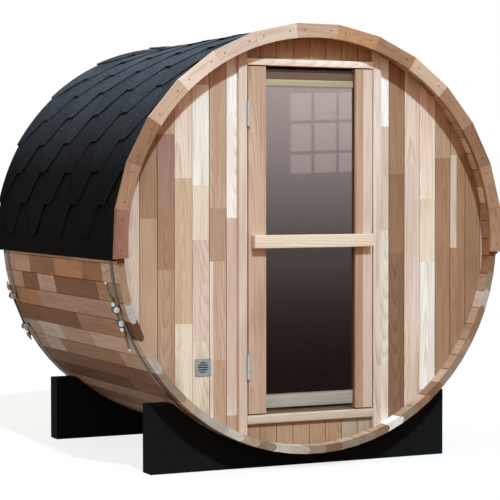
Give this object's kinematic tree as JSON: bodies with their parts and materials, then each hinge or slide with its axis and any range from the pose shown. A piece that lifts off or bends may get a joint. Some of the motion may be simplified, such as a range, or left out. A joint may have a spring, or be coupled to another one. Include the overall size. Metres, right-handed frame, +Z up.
{
  "type": "barrel sauna",
  "caption": "Round wooden barrel sauna on two saddle cradles, with a shingled roof over its upper half, steel hoops and a glazed door in the front end wall.",
  "frame": {"origin": "on the ground under the middle of the barrel", "axes": "+Z up, barrel axis along Y, the door end faces -Y, +X to the right seen from the door end"},
  "size_m": [1.842, 1.5406, 1.8746],
  "materials": {
    "black_timber": "black stain, matt",
    "stave_wood": "planed, untreated",
    "board_wood": "planed, untreated",
    "frame_wood": "planed, untreated",
    "door_glass": "tinted, clear",
    "hinge_steel": "satin",
    "vent_metal": "satin",
    "hoop_steel": "satin",
    "tensioner_steel": "zinc plated",
    "shingle": "mineral granules on bitumen",
    "edging_wood": "planed, untreated"
  },
  "bodies": {
    "hut": {"cradle_front": "black_timber", "cradle_rear": "black_timber", "staves_bottom": "stave_wood", "staves_bottom_right": "stave_wood", "staves_right_low": "stave_wood", "staves_right_high": "stave_wood", "staves_top_right": "stave_wood", "staves_top": "stave_wood", "staves_top_left": "stave_wood", "staves_left_high": "stave_wood", "staves_left_low": "stave_wood", "staves_bottom_left": "stave_wood", "front_wall_left": "board_wood", "front_wall_right": "board_wood", "front_wall_over_door": "board_wood", "front_wall_under_door": "board_wood", "rear_wall": "board_wood", "door_post_left": "frame_wood", "door_post_right": "frame_wood", "door_header": "frame_wood", "door_sill": "frame_wood", "hinge_frame_leaves": "hinge_steel", "vent_grille": "vent_metal", "hoop_front": "hoop_steel", "hoop_rear": "hoop_steel", "tensioner_front": "tensioner_steel", "tensioner_rear": "tensioner_steel", "roof_left": "shingle", "roof_right": "shingle", "roof_cap": "shingle", "edging_front": "edging_wood", "edging_rear": "edging_wood"},
    "door": {"door_stile_left": "frame_wood", "door_stile_right": "frame_wood", "door_top_rail": "frame_wood", "door_bottom_rail": "frame_wood", "door_glass": "door_glass", "door_handle": "frame_wood", "hinge_door_leaves": "hinge_steel"}
  },
  "joints": [
    {"name": "door_swing", "type": "hinge", "parent": "hut", "child": "door", "pos_m": [-0.2975, -0.717, 0.962], "axis": [0, 0, -1], "range_deg": [0, 110]}
  ]
}
